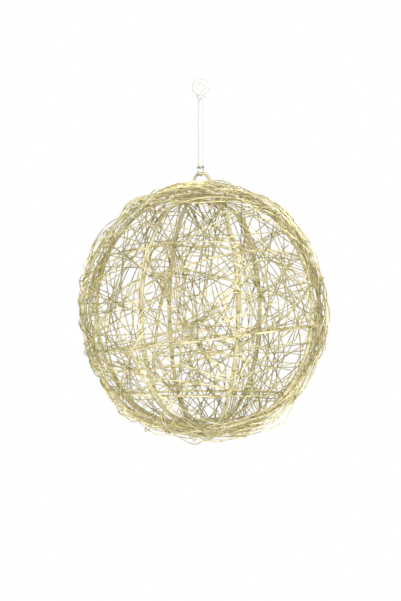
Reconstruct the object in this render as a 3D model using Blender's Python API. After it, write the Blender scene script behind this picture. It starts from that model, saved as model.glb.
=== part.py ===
"""A hanging ball of thin champagne wire, wound over four nested rings and hung on a white cord."""

import math
import random

import bmesh
import bpy
import numpy as np

# All sizes are in metres. The origin is where the eye of the cord hangs, and +Z is up.
# The ball and its loop hang a little to the right of the cord, by the sizes named ASIDE.
CLEARANCE = 0.0003

BALL_ASIDE = 0.0016
RING_RADIUS = 0.0986
RING_WIRE = 0.0032
RING_SEGMENTS = 28
RING_LONGITUDES = (106.2, 16.2, 61.2, 151.2)
NEST_ANGLE = 45.0

HOOP_WIRE = 0.0020
HOOP_SEGMENTS = 24
HOOPS = {
    "hoop_low": {"latitude": -44.0, "tilt": 0.0, "towards": 90.0, "layer": 0},
    "hoop_middle": {"latitude": -13.5, "tilt": 7.0, "towards": 90.0, "layer": 0},
    "hoop_tilted": {"latitude": 0.0, "tilt": 31.0, "towards": 38.5, "layer": 1},
}

WINDING_WIRE = 0.0012
WINDING_COUNT = 36
WINDING_TURNS = 1.04
WINDING_DRIFT = (14.0, 30.0)
WINDING_LEAN = 0.25
WINDING_NUDGE = 0.12
WINDING_SEED = 5
LAYERS = 5
SAG_STEP = 40.0
SAG_SHARE = 0.935
LOOSE_SPOTS = {
    "right": {"longitude": 96.0, "latitude": 6.0, "proud": 0.0002},
    "low right": {"longitude": 92.0, "latitude": -16.0, "proud": 0.0002},
    "bottom": {"longitude": 70.0, "latitude": -87.0, "proud": 0.0040},
    "top left": {"longitude": 300.0, "latitude": 76.0, "proud": 0.0035},
    "top right": {"longitude": 60.0, "latitude": 74.0, "proud": 0.0035},
}
LOOSE_REACH = 9.0
CROSSING_STEP = 2.0
STRAIGHT_LIMIT = 150.0
SUPPORT_MERGE = 2.5
OWN_TURN_APART = 25.0
MEASURE_SLACK = 0.00001
LIFT_SPARE = 0.00003
LIFT_PAST = 1.15
FLATTEST_LIFT = 0.5
MOST_ROUNDS = 60
MOST_TRIES = 48
TRIES_A_LAYER = 8

LOOP_WIRE = 0.0024
LOOP_WIDTH = 0.0141
LOOP_RISE = 0.0110
LOOP_ASIDE = 0.0010
LOOP_ARCH_SEGMENTS = 12

BAIL_WIRE = 0.0010
BAIL_WIDTH = 0.0064
BAIL_TURNED = 50.0
BAIL_SEGMENTS = 12
COLLAR_ABOVE_CORD_END = 0.0006

CORD_DIAMETER = 0.0040
CORD_LENGTH = 0.0552
CORD_ABOVE_LOOP = 0.0022
CORD_POINTS = 7

EYE_RADIUS = 0.0050
KNOT_WIDTH = 0.0078
KNOT_HEIGHT = 0.0062
KNOT_OVERLAP = 0.0012

COLOURS = {
    "frame_wire": ((0.62, 0.54, 0.32), 0.45, 0.6),
    "winding_wire": ((0.75, 0.68, 0.44), 0.40, 0.6),
    "bail_wire": ((0.55, 0.50, 0.42), 0.35, 0.8),
    "white_cord": ((0.90, 0.89, 0.86), 0.55, 0.0),
}

# Heights, worked out downwards from the hanging point at the top inside of the eye.
EYE_CENTRE = -(EYE_RADIUS - CORD_DIAMETER / 2)
KNOT_CENTRE = EYE_CENTRE - EYE_RADIUS - KNOT_HEIGHT / 2 + KNOT_OVERLAP
CORD_TOP = KNOT_CENTRE - KNOT_HEIGHT / 2 - CLEARANCE
CORD_END = CORD_TOP - CORD_LENGTH
LOOP_TOP = CORD_END - CORD_ABOVE_LOOP
LOOP_FOOT = LOOP_TOP - LOOP_RISE
BALL_CENTRE = LOOP_FOOT - CLEARANCE - RING_WIRE / 2 - RING_RADIUS


def clear_scene():
    for obj in list(bpy.data.objects):
        bpy.data.objects.remove(obj, do_unlink=True)


def new_collection(name):
    made = bpy.data.collections.new(name)
    bpy.context.scene.collection.children.link(made)
    return made


def principled(name):
    colour, roughness, metallic = COLOURS[name]
    made = bpy.data.materials.new(name)
    made.use_nodes = True
    shader = made.node_tree.nodes["Principled BSDF"]
    shader.inputs["Base Color"].default_value = (*colour, 1.0)
    shader.inputs["Roughness"].default_value = roughness
    shader.inputs["Metallic"].default_value = metallic
    made.diffuse_color = (*colour, 1.0)
    return made


def tube(name, points, diameter, side_resolution, material, closed=False):
    """A wire or cord along straight runs between the points."""
    curve = bpy.data.curves.new(name, "CURVE")
    curve.dimensions = "3D"
    curve.bevel_depth = diameter / 2
    curve.bevel_resolution = side_resolution
    curve.use_fill_caps = True
    spline = curve.splines.new("POLY")
    spline.points.add(len(points) - 1)
    for point, place in zip(spline.points, points):
        point.co = (*place, 1.0)
    spline.use_cyclic_u = closed
    curve.materials.append(material)
    obj = bpy.data.objects.new(name, curve)
    OBJECT_PARTS.objects.link(obj)
    return obj


def as_mesh(obj):
    """The curve object turned into a mesh object of the same name, with its caps welded."""
    graph = bpy.context.evaluated_depsgraph_get()
    mesh = bpy.data.meshes.new_from_object(obj.evaluated_get(graph))
    shape = bmesh.new()
    shape.from_mesh(mesh)
    bmesh.ops.remove_doubles(shape, verts=shape.verts, dist=1e-6)
    bmesh.ops.recalc_face_normals(shape, faces=shape.faces)
    shape.to_mesh(mesh)
    shape.free()
    name = obj.name
    place = obj.matrix_world.copy()
    bpy.data.objects.remove(obj, do_unlink=True)
    made = bpy.data.objects.new(name, mesh)
    made.matrix_world = place
    OBJECT_PARTS.objects.link(made)
    return made


def fuse(base, other):
    """Joins other to base with a Boolean union and keeps other as a hidden helper."""
    for held in list(other.users_collection):
        held.objects.unlink(other)
    HELPERS.objects.link(other)
    other.hide_render = True
    other.display_type = "WIRE"
    union = base.modifiers.new("Join " + other.name, "BOOLEAN")
    union.operation = "UNION"
    union.solver = "EXACT"
    union.object = other


def outward(longitude):
    """The level direction of a longitude, with 0 at the front (-Y) and 90 at the right (+X)."""
    turn = math.radians(longitude)
    return np.array((math.sin(turn), -math.cos(turn), 0.0))


def nest(angle_from_pole):
    """How much of its nesting depth a ring has at this angle from the nearer pole."""
    share = min(angle_from_pole / NEST_ANGLE, 1.0)
    return 0.5 + 0.5 * math.cos(math.pi * share)


def ring_radius(index, angle):
    """The radius of ring number index, angle degrees from the top: each nests inside the last at the poles."""
    folded = min(angle % 180.0, 180.0 - angle % 180.0)
    return RING_RADIUS - index * (RING_WIRE + 1.5 * CLEARANCE) * nest(folded)


def ring_route(index):
    level = outward(RING_LONGITUDES[index])
    route = []
    for step in range(RING_SEGMENTS):
        angle = 360.0 * step / RING_SEGMENTS
        turn = math.radians(angle)
        radius = ring_radius(index, angle)
        route.append(radius * (math.sin(turn) * level + np.array((0.0, 0.0, math.cos(turn)))))
    return route


def hoop_route(latitude, tilt, towards, layer):
    """A circle inside the rings, tilted so that it rises towards a longitude."""
    inside_rings = RING_RADIUS * math.cos(math.pi / RING_SEGMENTS) - (RING_WIRE + HOOP_WIRE) / 2 - CLEARANCE
    radius = inside_rings - layer * (HOOP_WIRE + 2 * CLEARANCE)
    rise = math.radians(tilt)
    side = outward(towards)
    across = outward(towards + 90.0)
    up = np.array((0.0, 0.0, 1.0))
    axis = math.cos(rise) * up - math.sin(rise) * side
    along = math.cos(rise) * side + math.sin(rise) * up
    level = math.radians(latitude)
    route = []
    for step in range(HOOP_SEGMENTS):
        turn = 2 * math.pi * step / HOOP_SEGMENTS
        spoke = math.cos(turn) * along + math.sin(turn) * across
        route.append(radius * (math.cos(level) * spoke + math.sin(level) * axis))
    return route


def loop_route():
    """The hanging loop from foot to foot: straight legs and a round arch."""
    half = (LOOP_WIDTH - LOOP_WIRE) / 2
    spring = LOOP_TOP - LOOP_WIRE / 2 - half
    route = [(LOOP_ASIDE - half, 0.0, LOOP_FOOT)]
    for step in range(LOOP_ARCH_SEGMENTS + 1):
        turn = math.pi * step / LOOP_ARCH_SEGMENTS
        route.append((LOOP_ASIDE - half * math.cos(turn), 0.0, spring + half * math.sin(turn)))
    route.append((LOOP_ASIDE + half, 0.0, LOOP_FOOT))
    return route


class Laid:
    """The straight runs of every wire that is in place, with half the thickness of each."""

    def __init__(self):
        self.starts = np.empty((0, 3))
        self.ends = np.empty((0, 3))
        self.halves = np.empty(0)

    def add(self, route, wire, closed=False):
        points = np.array(route)
        ends = np.roll(points, -1, axis=0) if closed else points[1:]
        starts = points if closed else points[:-1]
        self.starts = np.concatenate([self.starts, starts])
        self.ends = np.concatenate([self.ends, ends])
        self.halves = np.concatenate([self.halves, np.full(len(starts), wire / 2)])


class Lay:
    """The way that one winding wire goes round the ball: a great circle that drifts as it goes."""

    def __init__(self, normal, draw):
        helper = np.array((0.0, 0.0, 1.0)) if abs(normal[2]) < 0.9 else np.array((1.0, 0.0, 0.0))
        level = np.cross(normal, helper)
        level /= np.linalg.norm(level)
        begin = draw.uniform(0, 2 * math.pi)
        self.first = math.cos(begin) * level + math.sin(begin) * np.cross(normal, level)
        self.second = np.cross(normal, self.first)
        lean = draw.uniform(0, 2 * math.pi)
        axis = math.cos(lean) * self.first + math.sin(lean) * self.second
        axis += draw.uniform(-WINDING_LEAN, WINDING_LEAN) * normal
        self.axis = axis / np.linalg.norm(axis)
        drift = math.radians(draw.uniform(*WINDING_DRIFT)) * draw.choice((-1, 1))
        self.drift_per_radian = drift / (2 * math.pi)

    def directions(self, angles):
        """The unit vector from the centre at each angle along the way."""
        angles = np.atleast_1d(np.asarray(angles, float))
        flat = np.cos(angles)[:, None] * self.first + np.sin(angles)[:, None] * self.second
        cosines = np.cos(angles * self.drift_per_radian)[:, None]
        sines = np.sin(angles * self.drift_per_radian)[:, None]
        along = (flat @ self.axis)[:, None]
        return flat * cosines + np.cross(self.axis, flat) * sines + self.axis * along * (1 - cosines)


def closest_points(starts, ends, other_starts, other_ends):
    """For every pair of straight runs, the share along the first and the nearest point on each."""
    run = (ends - starts)[:, None, :]
    other_run = (other_ends - other_starts)[None, :, :]
    between = starts[:, None, :] - other_starts[None, :, :]
    run_run = (run * run).sum(-1)
    other_other = (other_run * other_run).sum(-1)
    run_other = (run * other_run).sum(-1)
    run_between = (run * between).sum(-1)
    other_between = (other_run * between).sum(-1)
    spread = np.maximum(run_run * other_other - run_other**2, 1e-18)
    share = np.clip((run_other * other_between - run_between * other_other) / spread, 0, 1)
    other_share = np.clip((run_other * share + other_between) / other_other, 0, 1)
    share = np.clip((run_other * other_share - run_between) / run_run, 0, 1)
    near = starts[:, None, :] + share[..., None] * run
    other_near = other_starts[None, :, :] + other_share[..., None] * other_run
    return share, near, other_near


def loose_supports(angles, directions):
    """Where a wire passes a spot at which the winding stands loose, off the rings."""
    supports = {}
    for loose in LOOSE_SPOTS.values():
        level = math.radians(loose["latitude"])
        spot = math.cos(level) * outward(loose["longitude"]) + np.array((0.0, 0.0, math.sin(level)))
        nearness = directions @ spot
        for place in range(1, len(angles) - 1):
            nearest = nearness[place] >= max(nearness[place - 1], nearness[place + 1])
            if nearest and nearness[place] > math.cos(math.radians(LOOSE_REACH)):
                supports[angles[place]] = RING_RADIUS + loose["proud"]
    return supports


def first_supports(lay, last_angle, over):
    """Where a wire is held up at first: on each ring that it crosses, and not far inside the rings between."""
    step = math.radians(SAG_STEP)
    supports = {(place + 0.5) * step: SAG_SHARE * RING_RADIUS for place in range(int(last_angle / step))}
    angles = np.linspace(0, last_angle, int(last_angle / math.radians(CROSSING_STEP)))
    directions = lay.directions(angles)
    supports.update(loose_supports(angles, directions))
    for index, longitude in enumerate(RING_LONGITUDES):
        side = directions @ outward(longitude + 90.0)
        for place in np.flatnonzero(side[:-1] * side[1:] < 0):
            share = side[place] / (side[place] - side[place + 1])
            angle = angles[place] + share * (angles[place + 1] - angles[place])
            from_top = math.degrees(math.acos(lay.directions(angle)[0][2]))
            supports[angle] = ring_radius(index, from_top) + RING_WIRE / 2 + over
    supports[0.0] = SAG_SHARE * RING_RADIUS
    supports[last_angle] = SAG_SHARE * RING_RADIUS
    return supports


def tightened(supports):
    """The angles and radii that a taut wire touches: the supports that stand out past its straight runs."""
    kept = []
    for angle in sorted(supports):
        radius = supports[angle]
        while len(kept) > 1:
            (first, first_radius), (middle, middle_radius) = kept[-2:]
            if angle - first > math.radians(STRAIGHT_LIMIT):
                break
            lever = first_radius * math.sin(middle - first) + radius * math.sin(angle - middle)
            if middle_radius > first_radius * radius * math.sin(angle - first) / lever:
                break
            kept.pop()
        kept.append((angle, radius))
    return np.array(kept).T


def lifts_needed(points, angles, laid):
    """Where the wire comes too near to another or to itself: the angle, the radius there and how far to lift it."""
    own = Laid()
    own.add(points, WINDING_WIRE)
    found = []
    for others in (own, laid):
        share, near, other_near = closest_points(own.starts, own.ends, others.starts, others.ends)
        needed = others.halves[None, :] + WINDING_WIRE / 2 + CLEARANCE
        gap = np.linalg.norm(near - other_near, axis=-1)
        bad = gap < needed - MEASURE_SLACK
        if others is own:
            bad &= angles[:-1][:, None] - angles[1:][None, :] > math.radians(OWN_TURN_APART)
        for mine, theirs in zip(*np.nonzero(bad)):
            place, other = near[mine, theirs], other_near[mine, theirs]
            radius = np.linalg.norm(place)
            out = place / radius
            square = np.cross(own.ends[mine] - own.starts[mine], others.ends[theirs] - others.starts[theirs])
            square = square / np.linalg.norm(square) if np.linalg.norm(square) > 1e-12 else out
            square = square if square @ out > 0 else -square
            room = needed[0, theirs]
            over = (room - (place - other) @ square) / max(square @ out, FLATTEST_LIFT)
            most = np.linalg.norm(other) + LIFT_PAST * room - radius
            lift = max(min(over, most), room - gap[mine, theirs]) + LIFT_SPARE
            angle = angles[mine] + share[mine, theirs] * (angles[mine + 1] - angles[mine])
            found.append((angle, radius, lift))
    return found


def laid_wire(lay, laid, layers):
    """The points of one wire pulled tight over all that lies under it, or None past so many layers."""
    last_angle = 2 * math.pi * WINDING_TURNS
    most_radius = RING_RADIUS + RING_WIRE / 2 + layers * (WINDING_WIRE + CLEARANCE)
    supports = first_supports(lay, last_angle, WINDING_WIRE / 2 + CLEARANCE)
    for _ in range(MOST_ROUNDS):
        angles, radii = tightened(supports)
        if radii.max() > most_radius:
            return None
        points = lay.directions(angles) * radii[:, None]
        found = lifts_needed(points, angles, laid)
        if not found:
            return points
        before = dict(supports)
        for angle, radius, lift in found:
            known = min(supports, key=lambda place: abs(place - angle))
            if abs(known - angle) > math.radians(SUPPORT_MERGE):
                supports[angle] = radius + lift
            else:
                supports[known] = max(supports[known], before.get(known, radius) + lift)
    return None


def even_normals(count):
    """Directions spread evenly over half a sphere, one for the plane of each wire, in a mixed order."""
    golden = math.pi * (3 - math.sqrt(5))
    normals = []
    for index in range(count):
        height = (index + 0.5) / count
        level = math.sqrt(1 - height * height)
        normals.append(np.array((level * math.cos(golden * index), level * math.sin(golden * index), height)))
    random.Random(WINDING_SEED).shuffle(normals)
    return normals


def wound_near(normal, number, laid):
    """Winding wire of that number, nearly square to the normal, or a little to one side if it finds no way."""
    for attempt in range(MOST_TRIES):
        draw = random.Random(WINDING_SEED + WINDING_COUNT * attempt + number)
        nudged = normal + np.array([draw.gauss(0, WINDING_NUDGE) for _ in range(3)])
        lay = Lay(nudged / np.linalg.norm(nudged), draw)
        points = laid_wire(lay, laid, LAYERS + attempt // TRIES_A_LAYER)
        if points is not None:
            return points
    raise ValueError("a winding wire finds no way over the others")


def winding_routes(laid):
    """All the winding wires in the order that they are wound, each over the ones before it."""
    routes = []
    for number, normal in enumerate(even_normals(WINDING_COUNT)):
        points = wound_near(normal, number, laid)
        routes.append(points)
        laid.add(points, WINDING_WIRE)
    return routes


def bail():
    """Thin wire tied round the end of the cord in a collar, with a bail that hooks under the loop."""
    collar_radius = (CORD_DIAMETER + BAIL_WIRE) / 2 + CLEARANCE
    collar_height = CORD_END + COLLAR_ABOVE_CORD_END
    half = BAIL_WIDTH / 2
    bottom = LOOP_TOP - LOOP_WIRE - CLEARANCE - BAIL_WIRE / 2
    side = outward(90.0 + BAIL_TURNED)
    collar_end = collar_radius * side
    route = [(-collar_end[0], -collar_end[1], collar_height)]
    for step in range(BAIL_SEGMENTS + 1):
        turn = math.pi * step / BAIL_SEGMENTS
        place = -half * math.cos(turn) * side
        route.append((place[0], place[1], bottom + half - half * math.sin(turn)))
    route.append((collar_end[0], collar_end[1], collar_height))
    hook = as_mesh(tube("cord_bail", route, BAIL_WIRE, 2, MATERIALS["bail_wire"]))
    bpy.ops.mesh.primitive_torus_add(
        location=(0.0, 0.0, collar_height),
        major_radius=collar_radius,
        minor_radius=BAIL_WIRE / 2,
        major_segments=20,
        minor_segments=8,
    )
    collar = bpy.context.object
    collar.name = "bail_collar"
    fuse(hook, collar)


def cord():
    heights = [CORD_END + CORD_LENGTH * step / (CORD_POINTS - 1) for step in range(CORD_POINTS)]
    tube("hanging_cord", [(0.0, 0.0, height) for height in heights], CORD_DIAMETER, 2, MATERIALS["white_cord"])


def eye():
    """The knot that ends the cord, with the small eye above it that goes on a hook."""
    bpy.ops.mesh.primitive_uv_sphere_add(
        location=(0.0, 0.0, KNOT_CENTRE),
        segments=14,
        ring_count=8,
        radius=0.5,
    )
    knot = bpy.context.object
    knot.name = "cord_eye"
    knot.scale = (KNOT_WIDTH, KNOT_WIDTH, KNOT_HEIGHT)
    knot.data.materials.append(MATERIALS["white_cord"])
    knot.data.shade_smooth()
    for held in list(knot.users_collection):
        held.objects.unlink(knot)
    OBJECT_PARTS.objects.link(knot)
    bpy.ops.mesh.primitive_torus_add(
        location=(0.0, 0.0, EYE_CENTRE),
        rotation=(math.pi / 2, 0.0, 0.0),
        major_radius=EYE_RADIUS,
        minor_radius=CORD_DIAMETER / 2,
        major_segments=22,
        minor_segments=8,
    )
    ring = bpy.context.object
    ring.name = "eye_ring"
    fuse(knot, ring)


def ball():
    """The rings, the hoops inside them and the wires wound over both."""
    middle = np.array((BALL_ASIDE, 0.0, BALL_CENTRE))
    frame = MATERIALS["frame_wire"]
    laid = Laid()
    for index in range(len(RING_LONGITUDES)):
        route = ring_route(index)
        laid.add(route, RING_WIRE, closed=True)
        tube(f"rib_ring_{index + 1}", route + middle, RING_WIRE, 1, frame, closed=True)
    for name, hoop in HOOPS.items():
        route = hoop_route(**hoop)
        laid.add(route, HOOP_WIRE, closed=True)
        tube(name, route + middle, HOOP_WIRE, 1, frame, closed=True)
    laid.add(np.array(loop_route()) - middle, LOOP_WIRE)
    for index, route in enumerate(winding_routes(laid)):
        tube(f"winding_wire_{index + 1:02d}", route + middle, WINDING_WIRE, 0, MATERIALS["winding_wire"])


clear_scene()
OBJECT_PARTS = new_collection("wire_ball_ornament")
HELPERS = new_collection("helpers")
MATERIALS = {name: principled(name) for name in COLOURS}
ball()
tube("hanging_loop", loop_route(), LOOP_WIRE, 2, MATERIALS["frame_wire"])
bail()
cord()
eye()
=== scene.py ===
"""A hanging ball ornament of champagne-gold wire: the finish of every piece, and a plain studio round it."""

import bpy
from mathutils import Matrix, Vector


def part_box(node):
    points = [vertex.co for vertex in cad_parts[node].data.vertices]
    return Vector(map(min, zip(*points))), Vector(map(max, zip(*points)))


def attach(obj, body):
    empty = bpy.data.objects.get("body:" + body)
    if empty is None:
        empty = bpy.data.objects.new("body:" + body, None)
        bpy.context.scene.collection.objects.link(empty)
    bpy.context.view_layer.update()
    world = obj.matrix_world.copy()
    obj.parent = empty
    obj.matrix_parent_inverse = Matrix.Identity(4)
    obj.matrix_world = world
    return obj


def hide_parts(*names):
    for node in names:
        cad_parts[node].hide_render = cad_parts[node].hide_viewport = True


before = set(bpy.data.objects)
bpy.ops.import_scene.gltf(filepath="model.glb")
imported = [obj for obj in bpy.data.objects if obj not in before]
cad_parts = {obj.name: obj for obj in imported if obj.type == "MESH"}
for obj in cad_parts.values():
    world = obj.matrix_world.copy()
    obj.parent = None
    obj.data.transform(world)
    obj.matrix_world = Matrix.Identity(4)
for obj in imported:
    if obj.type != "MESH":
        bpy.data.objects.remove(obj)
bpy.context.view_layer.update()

import copy
import math
import random

import bmesh
import bpy
import numpy as np
from mathutils import Matrix, Vector

bl_info = {
    "name": "Wire Ball Ornament",
    "version": (1, 0, 0),
    "blender": (4, 5, 0),
    "location": "View3D > Sidebar > Ornament",
    "description": "Winds a hanging ball of champagne wire over its frame of rods",
    "category": "Add Mesh",
}

# The picture is 401 pixels wide and 601 high, and its centre lies a little above the ball's.
PICTURE_WIDTH = 401
MILLIMETRES_A_PIXEL = 0.8
SENSOR_WIDTH = 36.0

# Nodes of the frame, by kind.
RIB_NODES = sorted(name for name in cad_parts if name.startswith("rib_ring"))
HOOP_NODES = sorted(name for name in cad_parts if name.startswith("hoop"))
WIRE_NODES = sorted(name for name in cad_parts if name.startswith("winding_wire"))

# Vertices of a solid that are nearer than this belong to one corner of its wire.
CORNER_ROD = 0.0040
CORNER_WIRE = 0.0014

# The cord's route from its tied end to its knot, in metres, as in the part's source.
CORD_END = -0.0685
CORD_LENGTH = 0.0552
CORD_POINTS = 7
CORD_ROUTE = [(0.0, 0.0, CORD_END + CORD_LENGTH * step / (CORD_POINTS - 1)) for step in range(CORD_POINTS)]


def box_centre(node):
    low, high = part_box(node)
    return np.array((low + high) / 2)


BALL_CENTRE = box_centre(RIB_NODES[0])
UP = np.array((0.0, 0.0, 1.0))

# How quickly the slight wave of a rod and of a wire changes along it.
ROD_WAVES = 14.0
WIRE_WAVES = 55.0

# Sides of the drawn winding wire.
WIRE_SIDES = 6

# Wires that stand loose off the ball, in millimetres from its middle: to the right, to the front and up.
LOOSE_WIRES = (
    (
        (78, 6, -40), (77, 8, -55), (74.5, 8, -66), (71, 8, -77.5),
        (65.5, 8, -86.5), (57.5, 7, -92.5), (48.5, 6, -95.5),
    ),
    ((57.5, 6, -92), (48.5, 7, -95.5), (39, 5, -98.5), (28.6, 4, -101.5), (13, 4, -103), (0, 2, -103.5)),
    ((93, 16, -12), (92, 9, -38), (86, 9, -54), (80, 9, -63), (70, 18, -66)),
    ((99, 5, -12), (86, 9, -46), (73, 12, -67), (54, 15, -83), (28, 18, -95), (2, 16, -100)),
    (
        (-70, 4, 66), (-66, 6, 75), (-61, 8, 82), (-57.4, 9, 86.2),
        (-54, 9, 89.8), (-48, 8, 92), (-36, 5, 93.5), (-24, 3, 97),
    ),
    ((-46, 6, 88), (-41, 8, 94), (-37, 8, 97), (-33, 6, 97), (-27, 3, 96)),
    ((22, 12, 94), (39.4, 8, 94), (48.6, 9, 92), (55.4, 9, 88), (60.6, 8, 84), (65.5, 8, 79), (66, 14, 70)),
    ((-98, 4, 2), (-99, 8, 8), (-97, 11, 13), (-95, 8, 16), (-96, 4, 10), (-94, 6, 4)),
    ((94, 14, -20), (98, 12, -26), (97, 8, -31), (93, 6, -30), (92, 8, -24)),
    ((-82, 12, -46), (-81, 9, -57), (-72, 9, -70), (-59, 11, -82), (-44, 16, -85)),
    ((-86, 14, -34), (-79, 12, -57), (-66, 14, -73), (-48, 17, -85), (-24, 22, -92)),
    ((-30, 10, -97), (-12, 12, -101), (8, 12, -104), (26, 10, -101), (44, 8, -95)),
    ((36, 86, 33), (40, 86, 38), (45, 84, 40), (49, 82, 36), (47, 84, 31), (41, 87, 31)),
    ((-80, 62, -4), (-76, 66, -8), (-72, 69, -12), (-75, 67, -15), (-79, 63, -11), (-77, 66, -5)),
)

# Wires that follow the outline as seen from the front: the angle of the first point and the step to the
# next, in degrees from the right upwards, then in millimetres the depth to the front and each point's
# distance from the middle.
OUTLINE_WIRES = (
    (15, 10, 12, (98, 101, 102, 103.5, 104.3, 103, 99)),
    (22, 12, 20, (96, 100.5, 103, 103.5, 101.5, 97)),
    (28, 11, -8, (98, 102.3, 104, 104, 99)),
    (-36, -8, 10, (96, 101, 103.8, 105.3, 104, 99)),
    (-42, -9, 17, (96, 101.5, 104.5, 104, 100)),
    (128, 8, 10, (98, 102.4, 103, 101.5, 97)),
    (66, 10, 14, (98, 102.5, 103.6, 103.3, 102.5, 98)),
    (72, 10, 24, (97, 102, 102.8, 102.5, 98)),
    (61, 12, -10, (97, 102.5, 103.4, 103, 98)),
    (80, 9, 6, (99, 103, 103.9, 103, 98)),
    (-150, 9, 14, (96, 100.5, 102.5, 102, 97)),
)

# Each of them is drawn once at every inset, in millimetres towards the middle. A millimetre of inset also
# takes it so many degrees round and so many millimetres to the front, from so far behind its own depth.
OUTLINE_INSETS = (0.0, 1.7, 3.4)
OUTLINE_TURN = 3
OUTLINE_FORWARD = 6
OUTLINE_BACK = 8


def float_property(name, description, default, **traits):
    return bpy.props.FloatProperty(name=name, description=description, default=default, **traits)


def length_property(name, description, default):
    return float_property(name, description, default, precision=5, unit="LENGTH", subtype="DISTANCE")


def colour_property(name, description, default):
    return bpy.props.FloatVectorProperty(
        name=name, description=description, default=default, size=3, min=0.0, max=1.0, subtype="COLOR"
    )


def power_property(name, description, default):
    return float_property(name, description, default, min=0.0, unit="POWER")


def angle_property(name, description, degrees):
    return float_property(name, description, math.radians(degrees), subtype="ANGLE")


def share_property(name, description, default):
    return float_property(name, description, default, min=0.0, max=1.0, subtype="FACTOR")


def count_property(name, description, default, least, most):
    return bpy.props.IntProperty(name=name, description=description, default=default, min=least, max=most)


class WireSizes(bpy.types.PropertyGroup):
    """Sizes of the rods, the wires and the cord."""

    rib: length_property("Rib", "Diameter of the rod of the upright rings", 0.0032)
    hoop: length_property("Hoop", "Diameter of the rod of the hoops", 0.0018)
    wire: length_property("Wire", "Diameter of the winding wire", 0.00080)
    loop: length_property("Loop", "Diameter of the rod of the hanging loop", 0.0024)
    bail: length_property("Bail", "Diameter of the tied wire under the cord", 0.00085)
    cord: length_property("Cord", "Diameter of the white cord", 0.0040)
    bend: length_property("Bend", "How far from a bend the winding wire is curved", 0.0120)
    wave: length_property("Wave", "How far the winding wire wanders off a straight run", 0.00032)
    rod_wave: length_property("Rod Wave", "How far the rods wander off a true ring", 0.00035)


class OuterWinding(bpy.types.PropertyGroup):
    """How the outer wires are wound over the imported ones."""

    count: count_property("Count", "Number of outer wires", 42, 0, 120)
    group: count_property("Group", "In every so many wires, the last lies near the one before it", 5, 2, 120)
    turns: float_property("Turns", "Turns that each makes round the ball", 1.04)
    drift: angle_property("Drift", "Most that a wire drifts in a turn", 30.0)
    nudge: float_property("Nudge", "How unevenly the wires are spread", 0.10)
    wander: angle_property("Wander", "How far a wire strays off its circle", 13.0)
    across: float_property("Across", "Less than 1 for more wires across the front and the back", 0.6)
    together: angle_property("Together", "How far a wire turns off the one that it lies near", 8.0)
    sink: length_property("Sink", "How far a wire may bed into another, before it is smoothed", 0.00015)
    sag: float_property("Sag", "Least share of the rings' radius", 0.94)
    halves: bpy.props.FloatVectorProperty(
        name="Halves", description="Half the full ball's size", default=(0.1, 0.1015, 0.105), unit="LENGTH"
    )
    offset: length_property("Offset", "How far to the right the full ball lies from its rings", 0.0008)
    spare: float_property("Spare", "Share of its size that the ball may grow at each further try", 0.004)
    seed: count_property("Seed", "Start of the random draws", 11, 0, 1000)


class Finish(bpy.types.PropertyGroup):
    """Colours of the paint and the cord, and of the painted shade inside the winding."""

    light: colour_property("Light", "Fresh champagne paint", (0.86, 0.80, 0.57))
    middle: colour_property("Middle", "Usual champagne paint", (0.80, 0.72, 0.39))
    dark: colour_property("Dark", "Thin or rubbed paint", (0.28, 0.24, 0.07))
    # Painted shade: between these two distances from the middle, the wire paint is tinted darker the nearer
    # it lies to the middle, standing in for the shade inside the winding.
    depth_shade: colour_property("Deep", "Tint of the paint deep in the winding", (0.67, 0.64, 0.49))
    darkest_shade_at: length_property("Deep At", "Distance from the middle where the paint is darkest", 0.0960)
    shade_ends_at: length_property("Fresh At", "Distance from the middle where the paint is fresh", 0.1022)
    bail: colour_property("Bail", "Bare wire of the bail", (0.50, 0.47, 0.40))
    cord: colour_property("Cord", "White of the cord", (0.68, 0.67, 0.64))
    metallic: share_property("Metallic", "Share of metal in the paint of the wires", 0.60)
    rod_metallic: share_property("Rod Metallic", "Share of metal in the paint of the rods", 0.35)


class Studio(bpy.types.PropertyGroup):
    """The camera and the lights."""

    distance: length_property("Distance", "From the camera to the middle of the ball", 2.5)
    aim_above: length_property("Aim Above", "Height of the camera above the middle of the ball", 0.0085)
    floor_below: length_property("Floor Below", "From the middle of the ball down to the floor", 0.62)
    key: power_property("Key", "Power of the key light", 25.5)
    low: power_property("Low", "Power of the light from low in front", 22.0)
    left: power_property("Left", "Power of the light at the left", 21.0)
    right: power_property("Right", "Power of the light at the right", 8.0)
    top: power_property("Top", "Power of the light above", 9.5)
    rim: power_property("Rim", "Power of the light behind", 9.5)
    surround: share_property("Surround", "Light from all round", 0.005)


class OrnamentSettings(bpy.types.PropertyGroup):
    """All settings of the ornament."""

    sizes: bpy.props.PointerProperty(type=WireSizes)
    outer: bpy.props.PointerProperty(type=OuterWinding)
    finish: bpy.props.PointerProperty(type=Finish)
    studio: bpy.props.PointerProperty(type=Studio)


def settings():
    return bpy.context.scene.wire_ball


def placed(name, data):
    """A new object of the data, in the scene."""
    made = bpy.data.objects.new(name, data)
    bpy.context.scene.collection.objects.link(made)
    return made


def angle_steps(whole, steps):
    """Angles in equal steps from 0 to the whole, with both ends."""
    return [whole * step / steps for step in range(steps + 1)]


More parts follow.
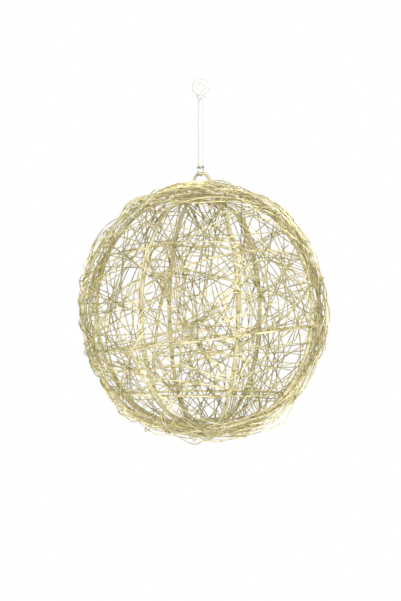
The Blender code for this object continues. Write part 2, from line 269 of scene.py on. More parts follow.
def centreline(node, corner):
    """The corners along the middle of a packed wire, in order, and whether the wire closes on itself."""
    shape = bmesh.new()
    shape.from_mesh(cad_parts[node].data)
    bmesh.ops.remove_doubles(shape, verts=shape.verts, dist=1e-6)
    place_of = {}
    middles = []
    for first in shape.verts:
        if first in place_of:
            continue
        place_of[first] = len(middles)
        waiting = [first]
        members = []
        while waiting:
            here = waiting.pop()
            members.append(here.co.copy())
            for edge in here.link_edges:
                other = edge.other_vert(here)
                if other not in place_of and edge.calc_length() < corner:
                    place_of[other] = len(middles)
                    waiting.append(other)
        middles.append(np.mean(np.array(members), axis=0))
    links = [set() for _ in middles]
    for edge in shape.edges:
        one, other = (place_of[vert] for vert in edge.verts)
        if one != other:
            links[one].add(other)
            links[other].add(one)
    shape.free()
    ends = [place for place, linked in enumerate(links) if len(linked) == 1]
    order = [ends[0] if ends else 0]
    while True:
        onward = sorted(links[order[-1]] - set(order))
        if not onward:
            break
        order.append(onward[0])
    return np.array([middles[place] for place in order]), not ends


def springy(points, closed, handle, step=0.005):
    """A smooth route through the points that bends near them and runs nearly straight between."""
    before = np.roll(points, 1, axis=0)
    after = np.roll(points, -1, axis=0)
    if not closed:
        before[0] = points[0]
        after[-1] = points[-1]
    arrive = points - before
    leave = after - points
    arrive_length = np.maximum(np.linalg.norm(arrive, axis=1), 1e-9)[:, None]
    leave_length = np.maximum(np.linalg.norm(leave, axis=1), 1e-9)[:, None]
    tangents = arrive / arrive_length + leave / leave_length
    tangents /= np.maximum(np.linalg.norm(tangents, axis=1), 1e-9)[:, None]
    route = []
    for place in range(len(points) if closed else len(points) - 1):
        start, end = points[place], after[place]
        length = leave_length[place][0]
        reach = min(length / 3, handle)
        first = start + reach * tangents[place]
        second = end - reach * tangents[(place + 1) % len(points)]
        steps = max(3, math.ceil(length / step))
        for share in np.arange(steps) / steps:
            rest = 1 - share
            route.append(
                rest**3 * start + 3 * rest**2 * share * first + 3 * rest * share**2 * second + share**3 * end
            )
    if not closed:
        route.append(points[-1])
    return np.array(route)


def spaced(points, closed, longest):
    """The route with points added so that no run is longer than longest."""
    following = np.roll(points, -1, axis=0) if closed else points[1:]
    route = []
    for start, end in zip(points, following):
        pieces = max(1, math.ceil(np.linalg.norm(end - start) / longest))
        for piece in range(pieces):
            route.append(start + (end - start) * piece / pieces)
    if not closed:
        route.append(points[-1])
    return np.array(route)


class Laid:
    """The straight runs of every wire in place, from the ball's middle, and half the thickness of each."""

    def __init__(self):
        self.starts = np.empty((0, 3))
        self.ends = np.empty((0, 3))
        self.halves = np.empty(0)

    def add(self, points, wire, closed=False):
        ends = np.roll(points, -1, axis=0) if closed else points[1:]
        starts = points if closed else points[:-1]
        self.starts = np.concatenate([self.starts, starts])
        self.ends = np.concatenate([self.ends, ends])
        self.halves = np.concatenate([self.halves, np.full(len(starts), wire / 2)])


class Course:
    """The way that one wire goes round the ball: a great circle that drifts as it goes."""

    def __init__(self, normal, draw, drift, wander):
        helper = UP if abs(normal[2]) < 0.9 else np.array((1.0, 0.0, 0.0))
        level = np.cross(normal, helper)
        level /= np.linalg.norm(level)
        begin = draw.uniform(0, math.tau)
        self.first = math.cos(begin) * level + math.sin(begin) * np.cross(normal, level)
        self.second = np.cross(normal, self.first)
        lean = draw.uniform(0, math.tau)
        self.axis = math.cos(lean) * self.first + math.sin(lean) * self.second
        self.drift_per_radian = draw.uniform(-drift, drift) / math.tau
        self.bends = []
        for _ in range(2):
            times = draw.choice((2, 3, 4, 5))
            start = draw.uniform(0, math.tau)
            self.bends.append((times, start, draw.uniform(0, wander)))

    def beside(self, draw, most):
        """A copy of the course, turned by up to so much about a random axis."""
        turn = Matrix.Rotation(draw.uniform(-most, most), 3, Vector([draw.gauss(0, 1) for _ in range(3)]))
        near = copy.copy(self)
        for name in ("first", "second", "axis"):
            setattr(near, name, np.array(turn @ Vector(getattr(self, name))))
        return near

    def directions(self, angles):
        """The unit vector from the middle of the ball at each angle along the way."""
        angles = np.atleast_1d(np.asarray(angles, float))
        aside = sum(size * np.sin(times * angles + start) for times, start, size in self.bends)
        flat = np.cos(angles)[:, None] * self.first + np.sin(angles)[:, None] * self.second
        flat += aside[:, None] * np.cross(self.first, self.second)
        flat /= np.linalg.norm(flat, axis=1)[:, None]
        cosines = np.cos(angles * self.drift_per_radian)[:, None]
        sines = np.sin(angles * self.drift_per_radian)[:, None]
        along = (flat @ self.axis)[:, None]
        return flat * cosines + np.cross(self.axis, flat) * sines + self.axis * along * (1 - cosines)


def near_pairs(own, others, reach):
    """The numbers of the runs, one of each kind, that might come within reach of each other."""
    middles = (own.starts + own.ends) / 2
    other_middles = (others.starts + others.ends) / 2
    halves = np.linalg.norm(own.ends - own.starts, axis=1) / 2
    other_halves = np.linalg.norm(others.ends - others.starts, axis=1) / 2
    apart = np.linalg.norm(middles[:, None] - other_middles[None], axis=-1)
    return np.nonzero(apart < halves[:, None] + other_halves[None] + reach)


def closest_points(starts, ends, other_starts, other_ends):
    """For each pair of straight runs, the share along the first and the nearest point on each."""
    run = ends - starts
    other_run = other_ends - other_starts
    between = starts - other_starts
    run_run = (run * run).sum(-1)
    other_other = (other_run * other_run).sum(-1)
    run_other = (run * other_run).sum(-1)
    run_between = (run * between).sum(-1)
    other_between = (other_run * between).sum(-1)
    spread = np.maximum(run_run * other_other - run_other**2, 1e-18)
    share = np.clip((run_other * other_between - run_between * other_other) / spread, 0, 1)
    other_share = np.clip((run_other * share + other_between) / other_other, 0, 1)
    share = np.clip((run_other * other_share - run_between) / run_run, 0, 1)
    return share, starts + share[:, None] * run, other_starts + other_share[:, None] * other_run


class Winder:
    """Winds wires over a ball: each is pulled taut over the rings and over what lies under it."""

    sag_step = math.radians(40.0)
    crossing_step = math.radians(2.0)
    straight_limit = math.radians(150.0)
    support_merge = math.radians(2.5)
    own_turn_apart = math.radians(25.0)
    lift_spare = 0.00003
    lift_past = 1.15
    flattest_lift = 0.5
    most_rounds = 40

    def __init__(self, rings, laid, wire, outer):
        self.rings = [(points, np.cross(points[0], points[len(points) // 4])) for points in rings]
        self.rod = settings().sizes.rib
        self.radius = np.linalg.norm(rings[0], axis=1).max()
        self.laid = laid
        self.wire = wire
        self.sink = outer.sink
        self.halves = np.array(outer.halves)
        self.offset = np.array((outer.offset, 0.0, 0.0))

    def first_supports(self, course, last_angle, sag):
        """Where a wire is held at first: on each ring that it crosses, and just inside the rings between."""
        supports = {(place + 0.5) * self.sag_step: sag for place in range(int(last_angle / self.sag_step))}
        angles = np.linspace(0, last_angle, int(last_angle / self.crossing_step))
        directions = course.directions(angles)
        for points, normal in self.rings:
            side = directions @ normal
            for place in np.flatnonzero(side[:-1] * side[1:] < 0):
                share = side[place] / (side[place] - side[place + 1])
                angle = angles[place] + share * (angles[place + 1] - angles[place])
                here = course.directions(angle)[0]
                nearest = points[np.argmax(points @ here)]
                supports[angle] = np.linalg.norm(nearest) + (self.rod + self.wire) / 2
        supports[0.0] = sag
        supports[last_angle] = sag
        return supports

    def tightened(self, supports):
        """The angles and radii that a taut wire touches: supports that stand out past its straight runs."""
        kept = []
        for angle in sorted(supports):
            radius = supports[angle]
            while len(kept) > 1:
                (first, first_radius), (middle, middle_radius) = kept[-2:]
                if angle - first > self.straight_limit:
                    break
                lever = first_radius * math.sin(middle - first) + radius * math.sin(angle - middle)
                if middle_radius > first_radius * radius * math.sin(angle - first) / lever:
                    break
                kept.pop()
            kept.append((angle, radius))
        return np.array(kept).T

    def lifts_needed(self, points, angles):
        """Where the wire is too near another or itself: the angle, the radius and how far to lift it."""
        own = Laid()
        own.add(points, self.wire)
        found = []
        for others in (own, self.laid):
            mine, theirs = near_pairs(own, others, self.wire + self.rod)
            if others is own:
                apart = angles[:-1][mine] - angles[1:][theirs] > self.own_turn_apart
                mine, theirs = mine[apart], theirs[apart]
            if not len(mine):
                continue
            share, near, other_near = closest_points(
                own.starts[mine], own.ends[mine], others.starts[theirs], others.ends[theirs]
            )
            rooms = others.halves[theirs] + self.wire / 2 - self.sink
            gaps = np.linalg.norm(near - other_near, axis=-1)
            for pair in np.flatnonzero(gaps < rooms - self.lift_spare / 3):
                place, other, room = near[pair], other_near[pair], rooms[pair]
                radius = np.linalg.norm(place)
                out = place / radius
                run = own.ends[mine[pair]] - own.starts[mine[pair]]
                square = np.cross(run, others.ends[theirs[pair]] - others.starts[theirs[pair]])
                square = square / np.linalg.norm(square) if np.linalg.norm(square) > 1e-12 else out
                square = square if square @ out > 0 else -square
                over = (room - (place - other) @ square) / max(square @ out, self.flattest_lift)
                most = np.linalg.norm(other) + self.lift_past * room - radius
                lift = max(min(over, most), room - gaps[pair]) + self.lift_spare
                angle = angles[mine[pair]] + share[pair] * (angles[mine[pair] + 1] - angles[mine[pair]])
                found.append((angle, radius, lift))
        return found

    def wound(self, course, turns, sag, spare):
        """The corners of one wire pulled tight over what lies under it, or None where it doesn't fit."""
        last_angle = math.tau * turns
        supports = self.first_supports(course, last_angle, sag * self.radius)
        for _ in range(self.most_rounds):
            angles, radii = self.tightened(supports)
            points = course.directions(angles) * radii[:, None]
            if np.linalg.norm((points - self.offset) / self.halves, axis=1).max() > 1 + spare:
                return None
            found = self.lifts_needed(points, angles)
            if not found:
                return points
            before = dict(supports)
            for angle, radius, lift in found:
                known = min(supports, key=lambda place: abs(place - angle))
                if abs(known - angle) > self.support_merge:
                    supports[angle] = radius + lift
                else:
                    supports[known] = max(supports[known], before.get(known, radius) + lift)
        return None


def add_node(tree, kind, inputs, **traits):
    """A new node with its traits. Each input is set to a value, or joined to an output or a node's first."""
    made = tree.nodes.new(kind)
    for name, value in traits.items():
        setattr(made, name, value)
    for place, value in inputs.items():
        if isinstance(value, bpy.types.Node):
            value = value.outputs[0]
        if isinstance(value, bpy.types.NodeSocket):
            tree.links.new(value, made.inputs[place])
        else:
            made.inputs[place].default_value = value
    return made


def round_wire_tree():
    """Geometry nodes that turn a route of edges into round wire with a slight wave and a paint."""
    tree = bpy.data.node_groups.new("round_wire", "GeometryNodeTree")
    floats = dict.fromkeys(("Diameter", "Wave", "Wave Scale", "Seed"), "Float")
    kinds = {"Route": "Geometry", "Sides": "Int", "Paint": "Material", **floats}
    for name, kind in kinds.items():
        tree.interface.new_socket(name, in_out="INPUT", socket_type="NodeSocket" + kind)
    tree.interface.new_socket("Wire", in_out="OUTPUT", socket_type="NodeSocketGeometry")
    given = tree.nodes.new("NodeGroupInput").outputs
    to_curve = add_node(tree, "GeometryNodeMeshToCurve", {"Mesh": given["Route"]})
    waves = {"Detail": 1.0, "Scale": given["Wave Scale"], "W": given["Seed"]}
    noise = add_node(tree, "ShaderNodeTexNoise", waves, noise_dimensions="4D")
    middle = {0: noise.outputs["Color"], 1: (0.5, 0.5, 0.5)}
    centred = add_node(tree, "ShaderNodeVectorMath", middle, operation="SUBTRACT")
    # The noise seldom strays more than a quarter from its middle.
    widened = add_node(tree, "ShaderNodeMath", {0: given["Wave"], 1: 4.0}, operation="MULTIPLY")
    sized = add_node(tree, "ShaderNodeVectorMath", {0: centred, "Scale": widened}, operation="SCALE")
    moved = add_node(tree, "GeometryNodeSetPosition", {"Geometry": to_curve, "Offset": sized})
    halved = add_node(tree, "ShaderNodeMath", {0: given["Diameter"], 1: 0.5}, operation="MULTIPLY")
    round_profile = {"Resolution": given["Sides"], "Radius": halved}
    circle = add_node(tree, "GeometryNodeCurvePrimitiveCircle", round_profile)
    sweep = {"Curve": moved, "Profile Curve": circle, "Fill Caps": True}
    swept = add_node(tree, "GeometryNodeCurveToMesh", sweep)
    smooth = add_node(tree, "GeometryNodeSetShadeSmooth", {"Geometry": swept})
    painted = add_node(tree, "GeometryNodeSetMaterial", {"Geometry": smooth, "Material": given["Paint"]})
    add_node(tree, "NodeGroupOutput", {"Wire": painted})


def route_object(name, routes):
    """A helper object whose edges run along the routes, each given as points and whether it closes."""
    points = []
    edges = []
    for route, closed in routes:
        first = len(points)
        points.extend(tuple(point) for point in route)
        edges.extend((first + step, first + step + 1) for step in range(len(route) - 1))
        if closed:
            edges.append((first + len(route) - 1, first))
    mesh = bpy.data.meshes.new(name)
    mesh.from_pydata(points, edges, [])
    return placed(name, mesh)


def drawn_wire(name, routes, diameter, sides, paint, wave=0.0, wave_scale=1.0, seed=0.0):
    """The plain mesh of round wire along the routes, made by the wire tree from a helper object."""
    values = {
        "Diameter": diameter,
        "Sides": sides,
        "Wave": wave,
        "Wave Scale": wave_scale,
        "Seed": seed,
        "Paint": bpy.data.materials[paint],
    }
    helper = route_object(name, routes)
    modifier = helper.modifiers.new(name, "NODES")
    modifier.node_group = bpy.data.node_groups["round_wire"]
    for item in modifier.node_group.interface.items_tree:
        if item.name in values:
            modifier[item.identifier] = values[item.name]
    mesh = bpy.data.meshes.new_from_object(helper.evaluated_get(bpy.context.evaluated_depsgraph_get()))
    mesh.name = name
    bpy.data.objects.remove(helper, do_unlink=True)
    return mesh


def winding_mesh(name, routes, seed):
    """Winding wire along the routes, as a mesh."""
    sizes = settings().sizes
    return drawn_wire(name, routes, sizes.wire, WIRE_SIDES, "wire_paint", sizes.wave, WIRE_WAVES, seed)


def finished(name, mesh, nodes=()):
    """The mesh as a piece that rides with the ornament and stands for the nodes."""
    piece = placed(name, mesh)
    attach(piece, "root")
    if nodes:
        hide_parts(*nodes)
    return piece


def braid_height(across, along):
    """How high the braid stands, from 0 in its furrows to 1 on a strand, at a place counted in strands."""
    rising = (across + along) % 1.0
    falling = (across - along) % 1.0
    over = 0.5 + 0.5 * math.cos(math.tau * across) * math.cos(math.tau * along)
    return max(math.sin(math.pi * rising) * over, math.sin(math.pi * falling) * (1.0 - 0.4 * over))


def braided(name, path, diameter, closed, paint, strands=8, around=32, row=0.0003, depth=0.00028):
    """A tube of braided cord along the path, with its strands in relief."""
    path = spaced(np.array(path, float), closed, row)
    count = len(path)
    lengths = np.linalg.norm(np.diff(path, axis=0), axis=1)
    along = np.concatenate([[0.0], np.cumsum(lengths)])
    total = along[-1] + (np.linalg.norm(path[0] - path[-1]) if closed else 0.0)
    pitch = 2.2 * diameter
    if closed:
        pitch = total / max(1, round(total / pitch))
    shape = bmesh.new()
    tangents = np.gradient(path, axis=0)
    if closed:
        tangents = np.roll(path, -1, axis=0) - np.roll(path, 1, axis=0)
    tangents /= np.linalg.norm(tangents, axis=1)[:, None]
    no_route_runs_here = (0.31, 0.94, 0.13)
    side = np.cross(tangents[0], no_route_runs_here)
    rings = []
    for place in range(count):
        side = side - (side @ tangents[place]) * tangents[place]
        side /= np.linalg.norm(side)
        other = np.cross(tangents[place], side)
        ring = []
        for step in range(around):
            turn = math.tau * step / around
            height = braid_height(strands * step / around, strands * along[place] / (2 * pitch))
            radius = diameter / 2 - depth * (1.0 - height)
            out = math.cos(turn) * side + math.sin(turn) * other
            ring.append(shape.verts.new(path[place] + radius * out))
        rings.append(ring)
    following = rings[1:] + ([rings[0]] if closed else [])
    twist = 0
    if closed:
        start = np.array(rings[0][0].co)
        twist = int(np.argmin([np.linalg.norm(np.array(vert.co) - start) for vert in rings[-1]]))
    for number, (ring, onward) in enumerate(zip(rings, following)):
        turned = twist if closed and number == count - 1 else 0
        for step in range(around):
            here, there = (step + turned) % around, (step + 1 + turned) % around
            shape.faces.new((ring[here], ring[there], onward[(step + 1) % around], onward[step]))
    if not closed:
        shape.faces.new(list(reversed(rings[0])))
        shape.faces.new(rings[-1])
    for face in shape.faces:
        face.smooth = True
    bmesh.ops.recalc_face_normals(shape, faces=shape.faces)
    mesh = bpy.data.meshes.new(name)
    shape.to_mesh(mesh)
    shape.free()
    mesh.materials.append(bpy.data.materials[paint])
    return mesh


def joined_mesh(name, meshes):
    """The meshes in one, with the materials of each."""
    shape = bmesh.new()
    for number, mesh in enumerate(meshes):
        first = len(shape.faces)
        shape.from_mesh(mesh)
        shape.faces.ensure_lookup_table()
        for face in shape.faces[first:]:
            face.material_index = number
    made = bpy.data.meshes.new(name)
    shape.to_mesh(made)
    shape.free()
    for mesh in meshes:
        made.materials.append(mesh.materials[0])
        bpy.data.meshes.remove(mesh)
    return made


def texture_noise(tree, coordinates, scale, detail, roughness=0.5):
    place = coordinates.outputs["Object"]
    inputs = {"Vector": place, "Scale": scale, "Detail": detail, "Roughness": roughness}
    return add_node(tree, "ShaderNodeTexNoise", inputs)


def colour_steps(tree, source, steps):
    ramp = tree.nodes.new("ShaderNodeValToRGB")
    ramp.color_ramp.elements.remove(ramp.color_ramp.elements[1])
    for number, (place, colour) in enumerate(steps):
        stop = ramp.color_ramp.elements[0] if number == 0 else ramp.color_ramp.elements.new(place)
        stop.position = place
        stop.color = (*colour, 1.0)
    tree.links.new(source, ramp.inputs["Fac"])
    return ramp


def grain(tree, shader, coordinates, scale, strength, distance):
    """A fine unevenness of the surface."""
    speckle = texture_noise(tree, coordinates, scale, 2.0)
    inputs = {"Height": speckle, "Strength": strength, "Distance": distance}
    bump = add_node(tree, "ShaderNodeBump", inputs)
    tree.links.new(bump.outputs["Normal"], shader.inputs["Normal"])


def patchy_finish(name, colours, patch, metallic, roughness):
    """A finish with patches from the first colour to the last, rougher where it is darker."""
    made = bpy.data.materials.new(name)
    made.use_nodes = True
    tree = made.node_tree
    shader = tree.nodes["Principled BSDF"]
    coordinates = tree.nodes.new("ShaderNodeTexCoord")
    patches = texture_noise(tree, coordinates, patch, 3.0, 0.6)
    places = (0.30, 0.47, 0.66)
    ramp = colour_steps(tree, patches.outputs["Fac"], list(zip(places, colours)))
    tree.links.new(ramp.outputs["Color"], shader.inputs["Base Color"])
    shader.inputs["Metallic"].default_value = metallic
    usual_noise = {"Value": patches, "From Min": 0.3, "From Max": 0.7}
    rough = {**usual_noise, "To Min": roughness[1], "To Max": roughness[0]}
    tree.links.new(add_node(tree, "ShaderNodeMapRange", rough).outputs["Result"], shader.inputs["Roughness"])
    return tree, shader, coordinates


def painted_depth_shade(tree, shader, coordinates, finish):
    """Painted shade: darkens the paint the nearer it lies to the middle of the ball, most inside the winding
    and not at all on the outermost wires.
    """
    ends = {0: coordinates.outputs["Object"], 1: tuple(BALL_CENTRE)}
    distance = add_node(tree, "ShaderNodeVectorMath", ends, operation="DISTANCE")
    depths = {"Value": distance.outputs["Value"], "From Min": finish.darkest_shade_at, "From Max": finish.shade_ends_at}
    unshaded = add_node(tree, "ShaderNodeMapRange", depths)
    shade_tint = colour_steps(tree, unshaded.outputs["Result"], [(0.0, finish.depth_shade), (1.0, (1.0, 1.0, 1.0))])
    colours = {0: shader.inputs["Base Color"].links[0].from_socket, 1: shade_tint}
    shaded = add_node(tree, "ShaderNodeVectorMath", colours, operation="MULTIPLY")
    tree.links.new(shaded.outputs["Vector"], shader.inputs["Base Color"])


def champagne_paint(name, finish, patch, tone, metallic, roughness, shades_depth=False):
    """Champagne-gold paint: patches of thicker and thinner paint, a fine grain and a soft gloss; where asked,
    also a painted shade inside the winding.
    """
    colours = [tuple(tone * part for part in colour) for colour in (finish.dark, finish.middle, finish.light)]
    tree, shader, coordinates = patchy_finish(name, colours, patch, metallic, roughness)
    if shades_depth:
        painted_depth_shade(tree, shader, coordinates, finish)
    grain(tree, shader, coordinates, scale=2600.0, strength=0.08, distance=0.00003)


def cord_white(name, finish):
    """White cord with slightly greyer patches and a fibre grain."""
    colours = [tuple(tone * part for part in finish.cord) for tone in (0.88, 0.97, 1.0)]
    tree, shader, coordinates = patchy_finish(name, colours, 900.0, metallic=0.0, roughness=(0.55, 0.7))
    shader.inputs["Sheen Weight"].default_value = 0.25
    grain(tree, shader, coordinates, scale=5200.0, strength=0.4, distance=0.00012)


def bare_wire(name, finish):
    """Bare wire, a little dull."""
    colours = [tuple(tone * part for part in finish.bail) for tone in (0.8, 1.0, 1.2)]
    tree, shader, coordinates = patchy_finish(name, colours, 500.0, metallic=0.85, roughness=(0.25, 0.4))
    grain(tree, shader, coordinates, scale=4200.0, strength=0.2, distance=0.00005)


class ORNAMENT_OT_studio(bpy.types.Operator):
    """Sets up the camera, the pale floor and the soft lights"""

    bl_idname = "ornament.studio"
    bl_label = "Studio"

    # For each light, its place from the middle of the ball and its diameter, in metres.
    lights = {
        "key": ((1.0, -1.3, 0.9), 0.5),
        "low": ((0.0, -1.7, -0.5), 0.5),
        "left": ((-1.8, -0.5, 0.2), 0.6),
        "right": ((1.8, -0.5, 0.2), 0.6),
        "top": ((0.0, -0.4, 1.8), 0.6),
        "rim": ((-0.3, 1.2, 0.9), 0.7),
    }

    def execute(self, context):
        studio = settings().studio
        scene = context.scene
        lens = bpy.data.cameras.new("studio_camera")
        lens.sensor_fit = "HORIZONTAL"
        lens.sensor_width = SENSOR_WIDTH
        picture = PICTURE_WIDTH * MILLIMETRES_A_PIXEL / 1000
        lens.lens = SENSOR_WIDTH * studio.distance / picture
        lens.clip_end = 50.0
        camera = placed("studio_camera", lens)
        camera.location = (0.0, -studio.distance, BALL_CENTRE[2] + studio.aim_above)
        camera.rotation_euler = (math.pi / 2, 0.0, 0.0)
        scene.camera = camera
        self.floor(studio)
        for name, (offset, size) in self.lights.items():
            self.light(name + "_light", offset, size, getattr(studio, name))
        self.surround(scene, studio)
        scene.view_settings.view_transform = "Standard"
        scene.view_settings.look = "None"
        return {"FINISHED"}

    def floor(self, studio):
        mesh = bpy.data.meshes.new("pale_floor")
        shape = bmesh.new()
        bmesh.ops.create_circle(shape, cap_ends=True, segments=96, radius=2.4)
        shape.to_mesh(mesh)
        shape.free()
        plaster = bpy.data.materials.new("pale_floor")
        plaster.use_nodes = True
        shader = plaster.node_tree.nodes["Principled BSDF"]
        shader.inputs["Base Color"].default_value = (0.86, 0.86, 0.85, 1.0)
        shader.inputs["Roughness"].default_value = 0.9
        mesh.materials.append(plaster)
        made = placed("pale_floor", mesh)
        made.location = (BALL_CENTRE[0], BALL_CENTRE[1], BALL_CENTRE[2] - studio.floor_below)

    def light(self, name, offset, size, power):
        lamp = bpy.data.lights.new(name, "AREA")
        lamp.shape = "DISK"
        lamp.size = size
        lamp.energy = power
        made = placed(name, lamp)
        made.location = BALL_CENTRE + np.array(offset)
        made.rotation_euler = (-Vector(offset)).to_track_quat("-Z", "Y").to_euler()

    def surround(self, scene, studio):
        """White behind the ornament, and a faint light from all round on it."""
        world = bpy.data.worlds.new("white_surround")
        world.use_nodes = True
        tree = world.node_tree
        seen = tree.nodes["Background"]
        seen.inputs["Color"].default_value = (1.0, 1.0, 1.0, 1.0)
        seen.inputs["Strength"].default_value = 1.0
        white = {"Color": (1.0, 1.0, 1.0, 1.0), "Strength": studio.surround}
        lighting = add_node(tree, "ShaderNodeBackground", white)
        in_view = tree.nodes.new("ShaderNodeLightPath").outputs["Is Camera Ray"]
        parts = {"Fac": in_view, 1: lighting, 2: seen}
        mix = add_node(tree, "ShaderNodeMixShader", parts)
        tree.links.new(mix.outputs["Shader"], tree.nodes["World Output"].inputs["Surface"])
        scene.world = world


class ORNAMENT_OT_finishes(bpy.types.Operator):
    """Mixes the paints and finishes, and lays out the wire tree"""

    bl_idname = "ornament.finishes"
    bl_label = "Finishes"

    def execute(self, context):
        finish = settings().finish
        rods = finish.rod_metallic
        wires = finish.metallic
        champagne_paint("rib_paint", finish, patch=160.0, tone=0.72, metallic=rods, roughness=(0.46, 0.60))
        champagne_paint("hoop_paint", finish, patch=180.0, tone=0.92, metallic=rods, roughness=(0.42, 0.58))
        champagne_paint("loop_paint", finish, patch=220.0, tone=0.85, metallic=rods, roughness=(0.40, 0.52))
        # The winding wire's paint carries painted shade, darker towards the middle of the ball.
        champagne_paint("wire_paint", finish, 140.0, 1.0, wires, roughness=(0.32, 0.44), shades_depth=True)
        cord_white("cord_white", finish)
        bare_wire("bail_metal", finish)
        round_wire_tree()
        return {"FINISHED"}


class ORNAMENT_OT_cord(bpy.types.Operator):
    """Braids the white cord, with the knot and the small eye at its top"""

    bl_idname = "ornament.cord"
    bl_label = "Cord"

    ring_steps = 64
    knot_steps = 72
    knot_strand = 0.0026

    def execute(self, context):
        sizes = settings().sizes
        mesh = braided("white_cord", CORD_ROUTE, sizes.cord, False, "cord_white")
        piece = finished("white_cord", mesh, ["hanging_cord"])
        eye = self.eye(sizes)
        return {"FINISHED"}

    def eye(self, sizes):
        """The eye, and under it an overhand knot of slightly finer cord."""
        low, high = (np.array(corner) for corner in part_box("cord_eye"))
        outer = (high[0] - low[0]) / 2
        ring_radius = outer - sizes.cord / 2
        ring_centre = high[2] - outer
        ring = []
        for turn in angle_steps(math.tau, self.ring_steps)[:-1]:
            ring.append((ring_radius * math.sin(turn), 0.0, ring_centre + ring_radius * math.cos(turn)))
        strand = self.knot_strand
        knot_top = ring_centre - ring_radius
        knot_half = (knot_top - low[2]) / 2
        wide = (high[1] - low[1] - strand) / 2
        knot = []
        for turn in angle_steps(math.tau, self.knot_steps)[:-1]:
            knot.append(
                (
                    wide * (math.sin(turn) + 2 * math.sin(2 * turn)) / 3,
                    wide * (math.cos(turn) - 2 * math.cos(2 * turn)) / 3,
                    knot_top - knot_half - (knot_half - strand / 2) * math.sin(3 * turn),
                )
            )
        meshes = [
            braided("eye_ring", ring, sizes.cord, True, "cord_white"),
            braided("eye_knot", knot, strand, True, "cord_white", strands=6, around=20),
        ]
        mesh = joined_mesh("cord_eye_knotted", meshes)
        return finished("cord_eye_knotted", mesh, ["cord_eye"])


class ORNAMENT_OT_hanger(bpy.types.Operator):
    """Bends the hanging loop, and ties the bail of thin wire under the cord"""

    bl_idname = "ornament.hanger"
    bl_label = "Loop and Bail"

    loop_steps = 24
    loop_sides = 16
    loop_row = 0.002
    bail_sides = 10
    packed_bail = 0.0010
    hook_half = 0.0032
    hook_steps = 16
    hook_turned = math.radians(140.0)
    tied_above_end = 0.0006
    wrapped_below_tie = 0.0003
    wraps = 2
    wrap_steps = 32
    wrap_pitch = 1.04

    def execute(self, context):
        sizes = settings().sizes
        self.loop(sizes)
        self.bail(sizes)
        return {"FINISHED"}

    def loop(self, sizes):
        low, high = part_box("hanging_loop")
        middle = (high[0] + low[0]) / 2
        half = (high[0] - low[0] - sizes.loop) / 2
        spring = high[2] - sizes.loop / 2 - half
        route = [(middle - half, 0.0, low[2])]
        for turn in angle_steps(math.pi, self.loop_steps):
            route.append((middle - half * math.cos(turn), 0.0, spring + half * math.sin(turn)))
        route.append((middle + half, 0.0, low[2]))
        route = spaced(np.array(route), False, self.loop_row)
        mesh = drawn_wire("loop_rod", [(route, False)], sizes.loop, self.loop_sides, "loop_paint")
        finished("loop_rod", mesh, ["hanging_loop"])

    def bail(self, sizes):
        low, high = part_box("cord_bail")
        collar = (high[0] - low[0] - self.packed_bail) / 2
        half = self.hook_half
        bottom = low[2] + self.packed_bail / 2
        side = np.array((math.sin(self.hook_turned), -math.cos(self.hook_turned), 0.0))
        top = CORD_END + self.tied_above_end
        hook = [-collar * side + UP * top]
        for turn in angle_steps(math.pi, self.hook_steps):
            hook.append(-half * math.cos(turn) * side + UP * (bottom + half - half * math.sin(turn)))
        hook.append(collar * side + UP * top)
        radius = (sizes.cord + sizes.bail) / 2
        wrapped = []
        for step in range(self.wraps * self.wrap_steps + 1):
            turn = math.tau * step / self.wrap_steps
            height = top - self.wrapped_below_tie + self.wrap_pitch * sizes.bail * step / self.wrap_steps
            wrapped.append((radius * math.cos(turn), radius * math.sin(turn), height))
        routes = [(np.array(hook), False), (np.array(wrapped), False)]
        mesh = drawn_wire("bail_wire", routes, sizes.bail, self.bail_sides, "bail_metal")
        finished("bail_wire", mesh, ["cord_bail"])


class ORNAMENT_OT_frame(bpy.types.Operator):
    """Draws the upright rings and the hoops of the frame"""

    bl_idname = "ornament.frame"
    bl_label = "Frame of Rods"

    rib_sides = 14
    hoop_sides = 10

    def execute(self, context):
        sizes = settings().sizes
        for number, node in enumerate(RIB_NODES + HOOP_NODES):
            rib = node in RIB_NODES
            corners, closed = centreline(node, CORNER_ROD)
            route = springy(corners, closed, math.inf)
            mesh = drawn_wire(
                node + "_rod",
                [(route, closed)],
                sizes.rib if rib else sizes.hoop,
                self.rib_sides if rib else self.hoop_sides,
                "rib_paint" if rib else "hoop_paint",
                wave=sizes.rod_wave,
                wave_scale=ROD_WAVES,
                seed=float(number),
            )
            finished(node + "_rod", mesh, [node])
        return {"FINISHED"}


class ORNAMENT_OT_winding(bpy.types.Operator):
    """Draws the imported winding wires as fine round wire"""

    bl_idname = "ornament.winding"
    bl_label = "Winding"

    def execute(self, context):
        sizes = settings().sizes
        for number, node in enumerate(WIRE_NODES):
            corners, closed = centreline(node, CORNER_WIRE)
            route = springy(corners, closed, sizes.bend)
            mesh = winding_mesh(node + "_strand", [(route, closed)], float(number))
            finished(node + "_strand", mesh, [node])
        return {"FINISHED"}


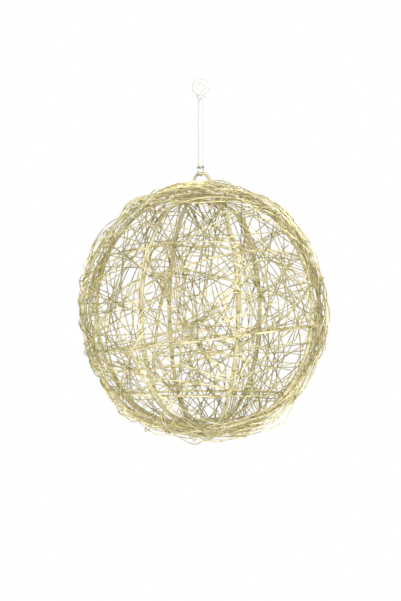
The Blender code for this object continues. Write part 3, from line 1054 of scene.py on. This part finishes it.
class ORNAMENT_OT_outer_winding(bpy.types.Operator):
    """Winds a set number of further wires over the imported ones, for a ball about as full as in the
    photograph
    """

    bl_idname = "ornament.outer_winding"
    bl_label = "Outer Winding"

    wires_a_piece = 22
    most_tries = 12

    def execute(self, context):
        sizes = settings().sizes
        outer = settings().outer
        routes = self.routes(sizes, outer)
        for first in range(0, len(routes), self.wires_a_piece):
            number = first // self.wires_a_piece + 1
            name = f"outer_winding_{number}"
            drawn = []
            for points in routes[first : first + self.wires_a_piece]:
                drawn.append((springy(points, False, sizes.bend) + BALL_CENTRE, False))
            mesh = winding_mesh(name, drawn, 100.0 + number)
            finished(name, mesh)
        return {"FINISHED"}

    def routes(self, sizes, outer):
        rings = [centreline(node, CORNER_ROD)[0] - BALL_CENTRE for node in RIB_NODES]
        laid = Laid()
        for ring in rings:
            laid.add(ring, sizes.rib, closed=True)
        for node in HOOP_NODES:
            laid.add(centreline(node, CORNER_ROD)[0] - BALL_CENTRE, sizes.hoop, closed=True)
        for node in WIRE_NODES:
            laid.add(centreline(node, CORNER_WIRE)[0] - BALL_CENTRE, sizes.wire)
        winder = Winder(rings, laid, sizes.wire, outer)
        golden = math.pi * (3 - math.sqrt(5))
        routes = []
        for number in range(outer.count):
            draw = random.Random(1000 * outer.seed + number)
            height = (number + 0.5) / outer.count
            level = math.sqrt(1 - height * height)
            normal = np.array((level * math.cos(golden * number), level * math.sin(golden * number), height))
            normal = normal * (1.0, outer.across, 1.0)
            normal /= np.linalg.norm(normal)
            for attempt in range(self.most_tries):
                if number % outer.group == outer.group - 1:
                    course = leader.beside(draw, outer.together)
                else:
                    nudged = normal + np.array([draw.gauss(0, outer.nudge) for _ in range(3)])
                    nudged /= np.linalg.norm(nudged)
                    course = leader = Course(nudged, draw, outer.drift, outer.wander)
                points = winder.wound(course, outer.turns, outer.sag, outer.spare * attempt)
                if points is not None:
                    routes.append(points)
                    laid.add(points, sizes.wire)
                    break
        if outer.count and not routes:
            raise RuntimeError("no outer wire fits on the ball")
        self.report({"INFO"}, f"{len(routes)} of {outer.count} outer wires laid")
        return routes


class ORNAMENT_OT_loose_ends(bpy.types.Operator):
    """Adds the wires that stand loose off the ball, and the small curls of their ends"""

    bl_idname = "ornament.loose_ends"
    bl_label = "Loose Ends"

    def execute(self, context):
        drawn = []
        wires = list(LOOSE_WIRES)
        for outline_wire in OUTLINE_WIRES:
            wires.extend(self.along_outline(inset, *outline_wire) for inset in OUTLINE_INSETS)
        for wire in wires:
            points = np.array(wire, float) * (0.001, -0.001, 0.001)
            drawn.append((springy(points, False, math.inf, step=0.002) + BALL_CENTRE, False))
        mesh = winding_mesh("loose_ends", drawn, 300.0)
        finished("loose_ends", mesh)
        return {"FINISHED"}

    def along_outline(self, inset, first, step, depth, reaches):
        """One outline wire at one inset, in millimetres as the loose wires are."""
        points = []
        for number, reach in enumerate(reaches):
            turn = math.radians(first + OUTLINE_TURN * inset + step * number)
            forward = depth + OUTLINE_FORWARD * inset - OUTLINE_BACK
            points.append(((reach - inset) * math.cos(turn), forward, (reach - inset) * math.sin(turn)))
        return points


class ORNAMENT_PT_panel(bpy.types.Panel):
    """Lists the steps that make the ornament"""

    bl_idname = "ORNAMENT_PT_panel"
    bl_label = "Wire Ball Ornament"
    bl_space_type = "VIEW_3D"
    bl_region_type = "UI"
    bl_category = "Ornament"

    def draw(self, context):
        for step in STEPS:
            self.layout.operator(step)


# In the order in which they run.
OPERATORS = (
    ORNAMENT_OT_studio,
    ORNAMENT_OT_finishes,
    ORNAMENT_OT_hanger,
    ORNAMENT_OT_cord,
    ORNAMENT_OT_frame,
    ORNAMENT_OT_winding,
    ORNAMENT_OT_outer_winding,
    ORNAMENT_OT_loose_ends,
)
STEPS = [made.bl_idname for made in OPERATORS]

# The groups come before the settings that hold them.
CLASSES = (WireSizes, OuterWinding, Finish, Studio, OrnamentSettings, *OPERATORS, ORNAMENT_PT_panel)


def register():
    for made in CLASSES:
        bpy.utils.register_class(made)
    bpy.types.Scene.wire_ball = bpy.props.PointerProperty(type=OrnamentSettings)


def unregister():
    del bpy.types.Scene.wire_ball
    for made in reversed(CLASSES):
        bpy.utils.unregister_class(made)


def main():
    register()
    for step in STEPS:
        group, name = step.split(".")
        getattr(getattr(bpy.ops, group), name)()


if __name__ == "__main__":
    main()
